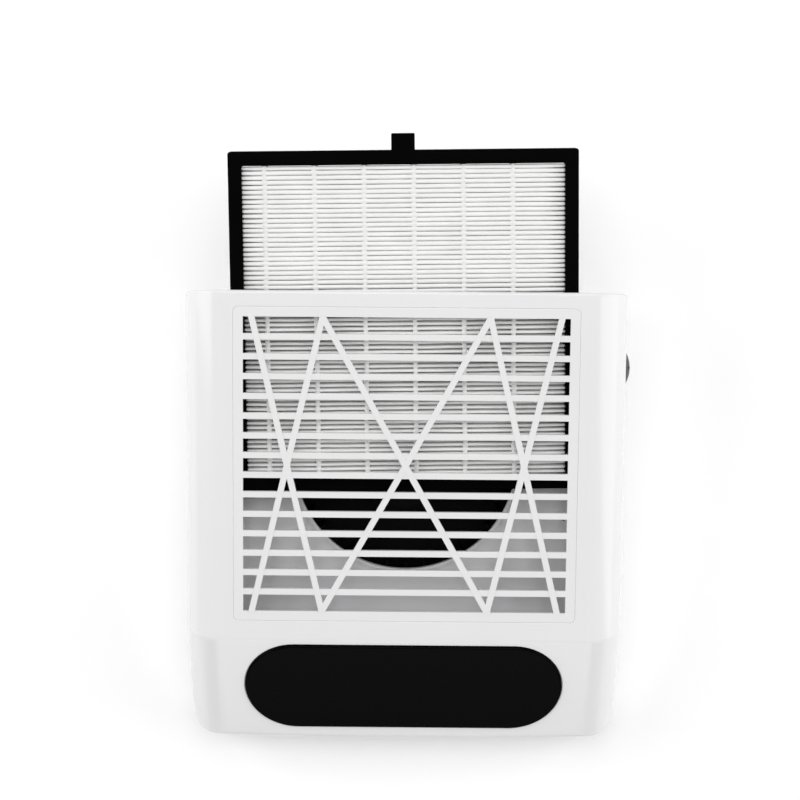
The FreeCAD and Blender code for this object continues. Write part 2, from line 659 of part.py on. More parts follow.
def impeller():
    """The fan wheel: a back plate and the hub cup over the motor."""
    base, cup_top = IMPELLER_BASE_W, IMPELLER_TOP_W - 3.0
    parts = [ring(IMPELLER_R, HUB_R - 1, base, base + BACK_PLATE),
             ring(HUB_R, HUB_R - 2, base, cup_top),
             upright(HUB_R, cup_top - 2, cup_top),
             upright(6.0, cup_top - 6, cup_top)]
    wheel = fused(parts).cut(upright(SHAFT_R, base - 10, cup_top - 1))
    return placed(wheel.Solids[0], GRILLE_FRAME)


MAGNET_OUTER_R = HUB_R - 2.05
MAGNET_INNER_R = 24.2
STATOR_R = 23.4
BEARING_TUBE_R = 6.0
MOTOR_PLATE_TOP_W = SCROLL_FLOOR_W - SCROLL_WALL - JOIN_GAP
MOTOR_PLATE_THICK = 2.0
BEARING_TUBE_TOP_W = IMPELLER_TOP_W - 10.0
CLIP_W = MOTOR_PLATE_TOP_W - MOTOR_PLATE_THICK - 1.2


def rotor_magnet():
    return placed(ring(MAGNET_OUTER_R, MAGNET_INNER_R, -50.5, -36), GRILLE_FRAME)


def motor_shaft():
    return placed(upright(SHAFT_R, CLIP_W - 1.0, IMPELLER_TOP_W - 4.1), GRILLE_FRAME)


def shaft_clip():
    clip = ring(3.6, SHAFT_R, CLIP_W, CLIP_W + 0.6).cut(block(-1.2, 1.2, 0, 5, CLIP_W - 1, CLIP_W + 1))
    return placed(clip, GRILLE_FRAME)


def motor_mount():
    """The motor's foot: a round plate under the fan housing with the tube that holds both bearings."""
    plate_low = MOTOR_PLATE_TOP_W - MOTOR_PLATE_THICK
    plate = upright(32.0, plate_low, MOTOR_PLATE_TOP_W)
    mount = fused([plate, upright(BEARING_TUBE_R, plate_low, BEARING_TUBE_TOP_W)])
    mount = mount.cut(upright(BEARING_R - 0.8, plate_low - 1, BEARING_TUBE_TOP_W + 1))
    mount = mount.cut(upright(BEARING_R, plate_low - 1, plate_low + BEARING_WIDTH))
    mount = mount.cut(upright(BEARING_R, BEARING_TUBE_TOP_W - BEARING_WIDTH, BEARING_TUBE_TOP_W + 1))
    for point in motor_screw_points():
        mount = mount.cut(rod(1.3, point + Z * (plate_low - 1), point + Z * (MOTOR_PLATE_TOP_W + 1)))
    return placed(mount, GRILLE_FRAME)


def motor_bearings():
    lows = (MOTOR_PLATE_TOP_W - MOTOR_PLATE_THICK, BEARING_TUBE_TOP_W - BEARING_WIDTH)
    return [placed(ring(BEARING_R - 0.02, SHAFT_R + RUNNING_GAP, low, low + BEARING_WIDTH), GRILLE_FRAME)
            for low in lows]


STATOR_TEETH = 9
STATOR_LOW_W = -50.0
STATOR_HIGH_W = -40.5


def stator_core():
    """A laminated star: nine teeth with broad heads round the bearing tube."""
    core = [ring(10.0, BEARING_TUBE_R + 0.05, STATOR_LOW_W, STATOR_HIGH_W)]
    head = ring(STATOR_R, STATOR_R - 2, STATOR_LOW_W, STATOR_HIGH_W)
    for step in range(STATOR_TEETH):
        angle = 360.0 * step / STATOR_TEETH
        core.append(turned(block(9, STATOR_R - 1, -1.5, 1.5, STATOR_LOW_W, STATOR_HIGH_W), angle))
        core.append(turned(head.common(block(0, 30, -6.5, 6.5, STATOR_LOW_W, STATOR_HIGH_W)), angle))
    return placed(fused(core), GRILLE_FRAME)


def stator_windings():
    """One coil round each tooth."""
    coils = []
    for step in range(STATOR_TEETH):
        outside = block(12.0, 20.0, -2.9, 2.9, STATOR_LOW_W - 1.4, STATOR_HIGH_W + 1.4)
        outside = outside.makeFillet(1.2, [e for e in outside.Edges if abs(middle(e).x - 16.0) < 1e-6])
        inside = block(11.0, 21.0, -1.55, 1.55, STATOR_LOW_W - 0.05, STATOR_HIGH_W + 0.05)
        coils.append(placed(turned(outside.cut(inside), 360.0 * step / STATOR_TEETH), GRILLE_FRAME))
    return coils


# ---------------------------------------------------------------- knob and potentiometer
def speed_knob():
    """A fluted, domed knob that sits in a round recess, with a groove to point with."""
    tip, back = HALF + KNOB_PROUD, RECESS_FLOOR_X + 0.7
    body = rod(KNOB_R, knob_point(back), knob_point(tip))
    body = body.common(Part.makeSphere(KNOB_DOME_R, knob_point(tip - KNOB_DOME_R)).fuse(
        rod(KNOB_R, knob_point(back - 1), knob_point(tip - KNOB_DOME_R))))
    flute_x = (back + 1.5, tip + 1)
    for step in range(KNOB_FLUTES):
        angle = 2 * math.pi * (step + 0.5) / KNOB_FLUTES
        away = Vector(0, math.cos(angle), math.sin(angle)) * (KNOB_R + 0.45)
        body = body.cut(rod(1.1, knob_point(flute_x[0]) + away, knob_point(flute_x[1]) + away))
    body = body.cut(rod(7.5, knob_point(back - 1), knob_point(back + 2.8)))
    body = body.cut(rod(POT_SHAFT_R, knob_point(back - 1), knob_point(tip - 1.8)))
    groove = block(tip - 1.6, tip + 1, KNOB_Y - 0.6, KNOB_Y + 0.6, KNOB_Z + 3.5, KNOB_Z + KNOB_R + 1)
    return body.cut(groove).Solids[0]


POT_BACK_X = RECESS_FLOOR_X - POT_WALL - 10.0


def pot_shaft():
    return rod(POT_SHAFT_R, knob_point(POT_BACK_X + 2.0), knob_point(HALF + KNOB_PROUD - 1.9))


def potentiometer():
    """The switched speed control behind the wall, with its threaded neck."""
    front = RECESS_FLOOR_X - POT_WALL - JOIN_GAP
    can = block(POT_BACK_X, front, KNOB_Y - 8, KNOB_Y + 8, KNOB_Z - 8, KNOB_Z + 8)
    can = can.makeFillet(2.0, [e for e in can.Edges if e.Vertexes[0].X != e.Vertexes[1].X])
    neck = rod(POT_SHAFT_R + 0.6, knob_point(front - 1), knob_point(RECESS_FLOOR_X + 2.8))
    pot = can.fuse(neck).cut(rod(POT_SHAFT_R + RUNNING_GAP, knob_point(POT_BACK_X + 1.5), knob_point(HALF)))
    for step in (-1, 0, 1):
        pin = block(POT_BACK_X + 2, POT_BACK_X + 2.6, KNOB_Y + 5 * step - 0.8, KNOB_Y + 5 * step + 0.8,
                    KNOB_Z - 13, KNOB_Z - 7)
        pot = pot.fuse(pin)
    return pot


def hexagon(width_across, x0, x1, at):
    corners = [Vector(x0, width_across / math.sqrt(3) * math.cos(math.radians(60 * step)),
                      width_across / math.sqrt(3) * math.sin(math.radians(60 * step))) for step in range(6)]
    prism = Part.Face(Part.makePolygon(corners + corners[:1])).extrude(Vector(x1 - x0, 0, 0))
    return moved(prism, 0, at.y, at.z)


def potentiometer_nut():
    low = RECESS_FLOOR_X + JOIN_GAP
    return hexagon(10.0, low, low + 2.0, knob_point(0)).cut(
        rod(POT_SHAFT_R + 0.65, knob_point(low - 1), knob_point(low + 5)))


# ---------------------------------------------------------------- rear: vent and power socket
def exhaust_vent():
    """The louvred insert in the rear wall, held by a flange behind the wall."""
    wall_y = REAR - WALL
    frame = vent_opening(VENT_WIDTH - 2 * VENT_GAP, VENT_HEIGHT - 2 * VENT_GAP, wall_y - 0.5, REAR - 0.1)
    flange = vent_opening(VENT_WIDTH + 5, VENT_HEIGHT + 5, wall_y - 1.7, wall_y - JOIN_GAP)
    vent = frame.fuse(flange)
    border, slat, slats, ribs = 3.0, 1.8, 4, 7
    inner_width, inner_height = VENT_WIDTH - 2 * border, VENT_HEIGHT - 2 * border
    vent = vent.cut(vent_opening(inner_width, inner_height, REAR - 10, REAR + 5))
    bars = []
    low_z = VENT_MIDDLE_Z - inner_height / 2
    gap = (inner_height - slats * slat) / (slats + 1)
    for step in range(slats):
        z = low_z + gap + step * (gap + slat)
        bars.append(block(-inner_width / 2 - 0.5, inner_width / 2 + 0.5, wall_y, REAR - 0.4, z, z + slat))
    for step in range(ribs):
        x = (step - (ribs - 1) / 2) * inner_width / (ribs + 1)
        bars.append(block(x - 1, x + 1, wall_y - 1.0, REAR - 1.0, low_z - 0.5, low_z + inner_height + 0.5))
    return fused([vent] + bars).Solids[0]


def along_the_socket(radius, y0, y1):
    return rod(radius, Vector(SOCKET_X, y0, SOCKET_Z), Vector(SOCKET_X, y1, SOCKET_Z))


def dc_socket():
    """The low-voltage barrel socket; its neck passes through the rear wall."""
    wall_y = REAR - WALL
    body = block(SOCKET_X - 7, SOCKET_X + 7, wall_y - 13, wall_y - JOIN_GAP, SOCKET_Z - 5.5, SOCKET_Z + 5.5)
    body = body.fuse(along_the_socket(SOCKET_BORE_R + 1.2, wall_y - 1, REAR + 0.9))
    body = body.cut(along_the_socket(SOCKET_BORE_R, REAR - 9.5, REAR + 5))
    return body.cut(along_the_socket(1.0, REAR - 13, REAR))


def dc_socket_pin():
    return along_the_socket(1.0, REAR - 13, REAR - 0.6)


def dc_socket_nut():
    low, high = REAR + JOIN_GAP, REAR + JOIN_GAP + 0.8
    return along_the_socket(SOCKET_BORE_R + 2.6, low, high).cut(
        along_the_socket(SOCKET_BORE_R + 1.25, low, high))


# ---------------------------------------------------------------- control board
BOARD_TOP_Z = BOARD_Z + BOARD_THICK
HEATSINK_HEIGHT = 9.0
MOTOR_HEADER = (-16, -16)      # the three headers, from the board's middle
KNOB_HEADER = (4, -17)
SOCKET_HEADER = (15, 16)
LEAD_START_Z = BOARD_TOP_Z + 2.2
LEAD_BEND = 2.5
LEAD_R = 0.7


def on_board(shape, x, y):
    """Sets a part that stands on z = 0 on the board, at a place counted from the board's middle."""
    return moved(shape, BOARD_MIDDLE.x + x, BOARD_MIDDLE.y + y, BOARD_TOP_Z + 0.02)


def control_board():
    board = block(-BOARD_WIDTH / 2, BOARD_WIDTH / 2, -BOARD_LENGTH / 2, BOARD_LENGTH / 2, 0, BOARD_THICK)
    board = moved(board, BOARD_MIDDLE.x, BOARD_MIDDLE.y, BOARD_Z)
    for point in board_corners():
        board = board.cut(rod(1.4, point + Z * BOARD_Z, point + Z * (BOARD_Z + 5)))
    return board


def board_capacitors():
    return [on_board(upright(5.0, 0, 16), -16, 8),
            on_board(upright(5.0, 0, 16), -4, 8),
            on_board(upright(3.2, 0, 11), 6, 14)]


def chip(width, length, height):
    return block(-width / 2, width / 2, -length / 2, length / 2, 0, height)


def board_chips():
    return [on_board(chip(10, 6, 1.8), -12, -9), on_board(chip(5, 5, 1.2), 4, -6),
            on_board(chip(4, 5, 1.2), 6, 2), on_board(chip(3, 5, 1.4), -22, 0)]


def board_heatsink():
    back = block(-9, 9, -5, -3.5, 0, HEATSINK_HEIGHT)
    fins = [block(x - 0.6, x + 0.6, -4, 5, 0, HEATSINK_HEIGHT) for x in (-8.4, -4.2, 0, 4.2, 8.4)]
    return on_board(fused([back] + fins), 17, -2)


def header(width):
    """An open-topped box that a lead's plug sits in."""
    return chip(width, 6, 7).cut(moved(chip(width - 2, 4, 7), 0, 0, 2))


def board_connectors():
    return [on_board(header(10), *MOTOR_HEADER), on_board(header(8), *KNOB_HEADER),
            on_board(header(7), *SOCKET_HEADER)]


def lead(points, bend=LEAD_BEND):
    """One thin insulated wire: straight runs joined by tangent arcs."""
    edges, start = [], points[0]
    for before, corner, after in zip(points, points[1:], points[2:]):
        to_start, to_end = (before - corner).normalize(), (after - corner).normalize()
        half = to_start.getAngle(to_end) / 2
        reach = bend / math.tan(half)
        first, last = corner + to_start * reach, corner + to_end * reach
        inwards = (to_start + to_end).normalize()
        centre = corner + inwards * (bend / math.sin(half))
        edges += [Part.LineSegment(start, first), Part.Arc(first, centre - inwards * bend, last)]
        start = last
    edges.append(Part.LineSegment(start, points[-1]))
    path = Part.Wire([edge.toShape() for edge in edges])
    section = Part.Wire([Part.Circle(points[0], points[1] - points[0], LEAD_R).toShape()])
    return path.makePipeShell([section], True, False)


def from_header(header_at, step_x):
    """The foot of one wire, in a header of the board."""
    return BOARD_MIDDLE + Vector(header_at[0] + step_x, header_at[1], LEAD_START_Z)


def at_height(point, z):
    return Vector(point.x, point.y, z)


def plane_z(w, y):
    """The height at which a plane of the grille frame passes over a y of the case."""
    tilt = math.radians(GRILLE_TILT)
    return GRILLE_FRAME.Base.z + (w + (y - GRILLE_FRAME.Base.y) * math.sin(tilt)) / math.cos(tilt)


def socket_leads():
    """Two wires from the board's rear header to the power socket."""
    back_y = REAR - WALL - 13.1
    leads = []
    for step in (-1.2, 1.2):
        foot = from_header(SOCKET_HEADER, step)
        end = Vector(SOCKET_X + step, back_y, SOCKET_Z)
        leads.append(lead([foot, at_height(foot, 24 - step), end - Y * 5, end], 1.8))
    return leads


def knob_leads():
    """Three wires from the board to the potentiometer's pins."""
    leads = []
    for step in (-1, 0, 1):
        level = 24 + 1.8 * step
        foot = from_header(KNOB_HEADER, -2 * step)
        pin = Vector(POT_BACK_X + 2.3, KNOB_Y + 5 * step, KNOB_Z - 13.1)
        leads.append(lead([foot, at_height(foot, level), at_height(pin, level), pin]))
    return leads


def motor_leads():
    """Three wires from the board to the underside of the motor mount."""
    motor_x, motor_y = 24.0, 36.0
    plate_z = plane_z(MOTOR_PLATE_TOP_W - MOTOR_PLATE_THICK, motor_y)
    leads = []
    for step in (-1, 0, 1):
        level = 21 + 1.8 * step
        foot = from_header(MOTOR_HEADER, 2.3 * step)
        end = Vector(motor_x + 2.4 * step, motor_y, plate_z - 0.3)
        leads.append(lead([foot, at_height(foot, level), at_height(end, level), end]))
    return leads


# ---------------------------------------------------------------- fasteners and feet
def pan_screw(at, up, length, shank_r=SCREW_R, head_r=SCREW_HEAD_R, head=2.2):
    """A cross-head screw: 'at' is under its head, and 'up' the way it drives in."""
    top = upright(head_r, -head, 0)
    top = top.makeFillet(0.7, [e for e in top.Edges if e.Closed and abs(middle(e).z + head) < 1e-6])
    cross = block(-head_r * 0.55, head_r * 0.55, -0.4, 0.4, -head - 0.1, -head + 1.0)
    screw = top.fuse(upright(shank_r, 0, length)).cut(cross).cut(turned(cross, 90))
    return placed(screw, Placement(at, Rotation(Z, up)))


SMALL_SCREW = {"shank_r": 1.2, "head_r": 2.2, "head": 1.6}


def screws_in_grille_frame(points, under_head_w, length, **sizes):
    screw = pan_screw(Vector(0, 0, under_head_w), Z, length, **sizes)
    return [placed(moved(screw, point.x, point.y, 0), GRILLE_FRAME) for point in points]


def housing_screws():
    return [pan_screw(Vector(x, y, SCREW_SEAT_Z), Z, 20.0) for x, y in BOSS_POINTS]


def tray_screws():
    return screws_in_grille_frame([Vector(x, y, 0) for x, y in TRAY_EAR_POINTS], TRAY_BOTTOM_W, 9.0)


def fan_screws():
    lug_low_w = TRAY_BOTTOM_W - JOIN_GAP - LUG_HEIGHT
    return screws_in_grille_frame(lug_points(), lug_low_w, LUG_HEIGHT + 2.0)


def motor_screws():
    plate_low_w = MOTOR_PLATE_TOP_W - MOTOR_PLATE_THICK
    return screws_in_grille_frame(motor_screw_points(), plate_low_w, 3.8, **SMALL_SCREW)


def board_screws():
    return [pan_screw(p + Z * BOARD_TOP_Z, Z * -1, 7.0, **SMALL_SCREW) for p in board_corners()]


def rubber_feet():
    feet = []
    for x, y in FOOT_POINTS:
        foot = rod(FOOT_R, Vector(x, y, -FOOT_STANDS), Vector(x, y, FOOT_RECESS - JOIN_GAP))
        feet.append(foot.makeFillet(0.8, [e for e in foot.Edges if abs(middle(e).z + FOOT_STANDS) < 1e-6]))
    return feet


# ---------------------------------------------------------------- all nodes, each named after its function
CASE = [upper_shell, lower_shell, grille_insert, palm_panel, palm_panel_tape, exhaust_vent, rubber_feet,
        housing_screws]
FILTER = [filter_frame, filter_media, filter_glue_beads, filter_gasket, filter_tray, tray_screws]
FAN = [fan_scroll, fan_screws, impeller, blade_ring, rotor_magnet, motor_shaft, shaft_clip,
       motor_mount, motor_bearings, motor_screws, stator_core, stator_windings]
CONTROLS = [speed_knob, pot_shaft, potentiometer, potentiometer_nut,
            dc_socket, dc_socket_pin, dc_socket_nut,
            control_board, board_capacitors, board_chips, board_heatsink, board_connectors, board_screws,
            socket_leads, knob_leads, motor_leads]

os.makedirs("parts", exist_ok=True)
for node in CASE + FILTER + FAN + CONTROLS:
    save(node.__name__, node())
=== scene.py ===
import json
import math

import bpy
from mathutils import Matrix, Vector, noise


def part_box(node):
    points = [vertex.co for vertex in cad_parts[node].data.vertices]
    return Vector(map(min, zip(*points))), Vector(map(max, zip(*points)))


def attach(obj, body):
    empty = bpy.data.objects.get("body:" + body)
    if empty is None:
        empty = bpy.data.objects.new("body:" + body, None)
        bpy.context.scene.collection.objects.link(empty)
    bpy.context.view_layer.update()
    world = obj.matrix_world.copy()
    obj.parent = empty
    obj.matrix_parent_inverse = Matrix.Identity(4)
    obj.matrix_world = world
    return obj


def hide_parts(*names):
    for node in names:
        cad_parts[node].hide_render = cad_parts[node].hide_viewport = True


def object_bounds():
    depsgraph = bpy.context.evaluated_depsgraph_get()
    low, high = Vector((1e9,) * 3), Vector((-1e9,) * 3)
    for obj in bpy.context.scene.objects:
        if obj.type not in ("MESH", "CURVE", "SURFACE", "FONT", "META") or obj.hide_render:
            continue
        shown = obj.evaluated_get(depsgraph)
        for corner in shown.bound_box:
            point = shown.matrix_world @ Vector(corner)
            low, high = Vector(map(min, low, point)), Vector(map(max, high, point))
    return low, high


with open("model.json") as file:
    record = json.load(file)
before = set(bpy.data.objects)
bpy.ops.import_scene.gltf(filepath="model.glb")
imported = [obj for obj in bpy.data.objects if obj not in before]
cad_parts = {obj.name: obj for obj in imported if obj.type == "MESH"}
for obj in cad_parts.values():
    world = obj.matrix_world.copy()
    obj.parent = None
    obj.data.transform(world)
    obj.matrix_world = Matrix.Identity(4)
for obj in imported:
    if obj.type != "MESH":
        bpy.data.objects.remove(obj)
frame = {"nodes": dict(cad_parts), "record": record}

CAD_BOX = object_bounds()
MM = 0.001

# The working face is tilted: this frame starts at the middle of the grille insert, x stays across the case,
# y climbs to the rear along the face and z stands out of it.
GRILLE_TILT = math.radians(8.0)
insert_low, insert_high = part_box("grille_insert")


def tilted_frame(origin, angle):
    return Matrix.Translation(origin) @ Matrix.Rotation(angle, 4, "X")


GRILLE_FRAME = tilted_frame((insert_low + insert_high) / 2, GRILLE_TILT)


def tilted_box(node):
    """Lowest and highest corner of a CAD node, measured in the grille's tilted frame."""
    inverse = GRILLE_FRAME.inverted()
    points = [inverse @ v.co for v in frame["nodes"][node].data.vertices]
    low = Vector([min(p[i] for p in points) for i in range(3)])
    high = Vector([max(p[i] for p in points) for i in range(3)])
    return low, high


# ---------------------------------------------------------------- materials
NOISE_LOW, NOISE_HIGH = 0.3, 0.7      # a noise texture's values stay mostly between these
CLOUD_TURNS = 18.0                    # broad unevenness of moulded plastic, turns per metre
BUMP_DEPTH = 0.02                     # millimetres, the skin of moulded plastic and metal


def new_material(name):
    material = bpy.data.materials.new(name)
    material.use_nodes = True
    nodes = material.node_tree.nodes
    return material, nodes, material.node_tree.links, nodes["Principled BSDF"]


def node(nodes, kind, **settings):
    made = nodes.new(kind)
    for name, value in settings.items():
        if name in made.inputs:
            made.inputs[name].default_value = value
        else:
            setattr(made, name, value)
    return made


def noise_value(nodes, links, scale, detail=3.0, stretch=(1, 1, 1)):
    """Fine noise in the object's own coordinates, in turns per metre."""
    place = node(nodes, "ShaderNodeTexCoord")
    mapping = node(nodes, "ShaderNodeMapping", Scale=stretch)
    texture = node(nodes, "ShaderNodeTexNoise", Scale=scale, Detail=detail)
    links.new(place.outputs["Object"], mapping.inputs["Vector"])
    links.new(mapping.outputs["Vector"], texture.inputs["Vector"])
    return texture.outputs["Fac"]


def ramp(nodes, links, value, low, high):
    """A colour that runs from low to high as a noise value rises."""
    made = node(nodes, "ShaderNodeValToRGB")
    made.color_ramp.elements[0].position = NOISE_LOW
    made.color_ramp.elements[1].position = NOISE_HIGH
    made.color_ramp.elements[0].color = (*low, 1)
    made.color_ramp.elements[1].color = (*high, 1)
    links.new(value, made.inputs["Fac"])
    return made.outputs["Color"]


def spread(nodes, links, value, low, high):
    """A number that runs from low to high as a noise value rises."""
    made = node(nodes, "ShaderNodeMapRange")
    made.inputs["From Min"].default_value = NOISE_LOW
    made.inputs["From Max"].default_value = NOISE_HIGH
    made.inputs["To Min"].default_value = low
    made.inputs["To Max"].default_value = high
    links.new(value, made.inputs["Value"])
    return made.outputs["Result"]


def add_bump(nodes, links, shader, height, strength, distance):
    bump = node(nodes, "ShaderNodeBump", Strength=strength, Distance=distance)
    links.new(height, bump.inputs["Height"])
    links.new(bump.outputs["Normal"], shader.inputs["Normal"])


def plastic(name, colour, vary=0.02, rough=(0.25, 0.32), grain=900.0, bump=0.1, depth=BUMP_DEPTH,
            gloss=0.5):
    """Moulded plastic: nearly even colour, slightly uneven gloss, a fine skin."""
    material, nodes, links, shader = new_material(name)
    cloud = noise_value(nodes, links, CLOUD_TURNS, 4.0)
    low = tuple(c * (1 - vary) for c in colour)
    high = tuple(min(1.0, c * (1 + vary)) for c in colour)
    links.new(ramp(nodes, links, cloud, low, high), shader.inputs["Base Color"])
    skin = noise_value(nodes, links, grain, 2.0)
    links.new(spread(nodes, links, skin, *rough), shader.inputs["Roughness"])
    add_bump(nodes, links, shader, skin, bump, depth * MM)
    shader.inputs["Specular IOR Level"].default_value = gloss
    return material


def metal(name, colour, rough=(0.22, 0.36), stretch=(1, 1, 1), grain=1200.0, bump=0.15):
    """Bare metal, its grain drawn out by stretch."""
    material, nodes, links, shader = new_material(name)
    grainy = noise_value(nodes, links, grain, 3.0, stretch)
    low = tuple(c * 0.9 for c in colour)
    links.new(ramp(nodes, links, grainy, low, colour), shader.inputs["Base Color"])
    links.new(spread(nodes, links, grainy, *rough), shader.inputs["Roughness"])
    add_bump(nodes, links, shader, grainy, bump, BUMP_DEPTH * MM)
    shader.inputs["Metallic"].default_value = 1.0
    return material


FIBRE_TURNS = 2200.0
FIBRE_SHARE = 0.5
PAPER_DARK, PAPER_LIGHT = (0.80, 0.80, 0.79), (0.90, 0.90, 0.895)


def paper_material():
    """Felted filter paper: fine fibres over soft clouds."""
    material, nodes, links, shader = new_material("filter_paper")
    fibres = noise_value(nodes, links, FIBRE_TURNS, 6.0, (0.35, 1.0, 1.0))
    clouds = noise_value(nodes, links, 60.0, 3.0)
    mixed = node(nodes, "ShaderNodeMath", operation="MULTIPLY_ADD")
    mixed.inputs[1].default_value = FIBRE_SHARE
    links.new(fibres, mixed.inputs[0])
    rest = node(nodes, "ShaderNodeMath", operation="MULTIPLY")
    rest.inputs[1].default_value = 1 - FIBRE_SHARE
    links.new(clouds, rest.inputs[0])
    links.new(rest.outputs[0], mixed.inputs[2])
    links.new(ramp(nodes, links, mixed.outputs[0], PAPER_DARK, PAPER_LIGHT), shader.inputs["Base Color"])
    shader.inputs["Roughness"].default_value = 0.9
    shader.inputs["Specular IOR Level"].default_value = 0.2
    shader.inputs["Sheen Weight"].default_value = 0.15
    add_bump(nodes, links, shader, fibres, 0.5, 0.05 * MM)
    return material


def board_material():
    """Green solder mask over copper: tracks show as slightly lighter cells."""
    material, nodes, links, shader = new_material("board_green")
    place = node(nodes, "ShaderNodeTexCoord")
    tracks = node(nodes, "ShaderNodeTexVoronoi", Scale=260.0, distance="MANHATTAN")
    links.new(place.outputs["Object"], tracks.inputs["Vector"])
    links.new(ramp(nodes, links, tracks.outputs["Distance"], (0.02, 0.13, 0.05), (0.04, 0.20, 0.08)),
              shader.inputs["Base Color"])
    shader.inputs["Roughness"].default_value = 0.3
    return material


def foam_material():
    """Open-celled foam: small dark cells."""
    material, nodes, links, shader = new_material("foam_black")
    place = node(nodes, "ShaderNodeTexCoord")
    cells = node(nodes, "ShaderNodeTexVoronoi", Scale=1400.0)
    links.new(place.outputs["Object"], cells.inputs["Vector"])
    links.new(ramp(nodes, links, cells.outputs["Distance"], (0.01, 0.01, 0.01), (0.03, 0.03, 0.03)),
              shader.inputs["Base Color"])
    shader.inputs["Roughness"].default_value = 0.95
    add_bump(nodes, links, shader, cells.outputs["Distance"], 0.6, 0.1 * MM)
    return material


def laminated_material():
    """A stack of thin coated sheets, seen as fine lines across the stack."""
    material, nodes, links, shader = new_material("lamination")
    place = node(nodes, "ShaderNodeTexCoord")
    turn = node(nodes, "ShaderNodeMapping", Rotation=(-GRILLE_TILT, 0, 0))
    sheets = node(nodes, "ShaderNodeTexWave", Scale=320.0, bands_direction="Z", Distortion=0.0)
    links.new(place.outputs["Object"], turn.inputs["Vector"])
    links.new(turn.outputs["Vector"], sheets.inputs["Vector"])
    links.new(ramp(nodes, links, sheets.outputs["Fac"], (0.10, 0.11, 0.13), (0.26, 0.27, 0.30)),
              shader.inputs["Base Color"])
    shader.inputs["Roughness"].default_value = 0.45
    shader.inputs["Metallic"].default_value = 0.6
    return material


def copper_material():
    """Enamelled wire: fine turns lie side by side."""
    material, nodes, links, shader = new_material("copper")
    place = node(nodes, "ShaderNodeTexCoord")
    turn = node(nodes, "ShaderNodeMapping", Rotation=(-GRILLE_TILT, 0, 0))
    turns = node(nodes, "ShaderNodeTexWave", Scale=420.0, bands_direction="Z", Distortion=1.5)
    links.new(place.outputs["Object"], turn.inputs["Vector"])
    links.new(turn.outputs["Vector"], turns.inputs["Vector"])
    links.new(ramp(nodes, links, turns.outputs["Fac"], (0.33, 0.11, 0.04), (0.72, 0.31, 0.12)),
              shader.inputs["Base Color"])
    shader.inputs["Metallic"].default_value = 0.9
    shader.inputs["Roughness"].default_value = 0.3
    add_bump(nodes, links, shader, turns.outputs["Fac"], 0.5, 0.1 * MM)
    return material


MATERIALS = {
    "case_white": plastic("case_white", (0.79, 0.79, 0.79), 0.008, (0.12, 0.17), 700.0, 0.03, 0.01),
    "base_white": plastic("base_white", (0.79, 0.79, 0.79), 0.01, (0.30, 0.38), 1100.0, 0.12, 0.02),
    # inner_white is the case's own white plastic set darker (0.66 against 0.79) for the parts inside the
    # case: painted shade
    "inner_white": plastic("inner_white", (0.66, 0.66, 0.67), 0.02, (0.30, 0.40), 900.0, 0.12, 0.02),
    "panel_black": plastic("panel_black", (0.001, 0.001, 0.0011), 0.1, (0.24, 0.30), 1000.0, 0.1, 0.02, 0.03),
    "tape": plastic("tape", (0.05, 0.05, 0.05), 0.2, (0.8, 0.9), 1200.0, 0.3, 0.05),
    "filter_black": plastic("filter_black", (0.001, 0.001, 0.001), 0.2, (0.55, 0.7), 1000.0, 0.3, 0.03, 0.02),
    "filter_paper": paper_material(),
    "hot_melt": plastic("hot_melt", (0.78, 0.78, 0.77), 0.02, (0.35, 0.5), 500.0, 0.3, 0.1),
    "foam_black": foam_material(),
    "fan_black": plastic("fan_black", (0.002, 0.002, 0.002), 0.2, (0.5, 0.6), 900.0, 0.2, 0.03, 0.1),
    "magnet": plastic("magnet", (0.05, 0.05, 0.055), 0.2, (0.5, 0.7), 1500.0, 0.3, 0.03),
    "steel": metal("steel", (0.62, 0.62, 0.63), (0.18, 0.3), (1, 1, 6)),
    "die_cast": metal("die_cast", (0.60, 0.61, 0.62), (0.45, 0.6), (1, 1, 1), 500.0, 0.4),
    "lamination": laminated_material(),
    "copper": copper_material(),
    "knob_black": plastic("knob_black", (0.018, 0.018, 0.019), 0.25, (0.35, 0.5), 1300.0, 0.3, 0.04),
    "dark_plastic": plastic("dark_plastic", (0.02, 0.02, 0.02), 0.15, (0.35, 0.45), 900.0, 0.15, 0.02),
    "board_green": board_material(),
    "heatsink": metal("heatsink", (0.62, 0.63, 0.64), (0.3, 0.45), (6, 1, 1)),
    "connector_white": plastic("connector_white", (0.78, 0.76, 0.70), 0.03, (0.4, 0.5), 900.0, 0.1, 0.02),
    "lead_red": plastic("lead_red", (0.42, 0.03, 0.03), 0.08, (0.4, 0.5), 900.0, 0.1, 0.02),
    "lead_grey": plastic("lead_grey", (0.28, 0.28, 0.30), 0.08, (0.4, 0.5), 900.0, 0.1, 0.02),
    "rubber": plastic("rubber", (0.03, 0.03, 0.03), 0.2, (0.75, 0.9), 700.0, 0.4, 0.06),
    "screw_zinc": metal("screw_zinc", (0.70, 0.71, 0.72), (0.2, 0.32), (1, 1, 1)),
}

for part in frame["record"]["subparts"]:
    cad = frame["nodes"][part["node"]]
    cad.data.materials.clear()
    cad.data.materials.append(MATERIALS[part["material_slot"]])


# ---------------------------------------------------------------- building meshes
def add_piece(name, points, faces, slot, body):
    """A finished piece made from points in the case's frame, painted with a record slot and riding a body."""
    mesh = bpy.data.meshes.new(name)
    mesh.from_pydata([tuple(p) for p in points], [], faces)
    mesh.validate()
    mesh.shade_smooth()
    mesh.materials.append(MATERIALS[slot])
    piece = bpy.data.objects.new(name, mesh)
    bpy.context.collection.objects.link(piece)
    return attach(piece, body)


def loft(rows):
    """Faces joining equal, closed rows of points; the two ends stay open."""
    count = len(rows[0])
    faces = []
    for r in range(len(rows) - 1):
        for c in range(count):
            d = (c + 1) % count
            faces.append((r * count + c, r * count + d, (r + 1) * count + d, (r + 1) * count + c))
    return faces


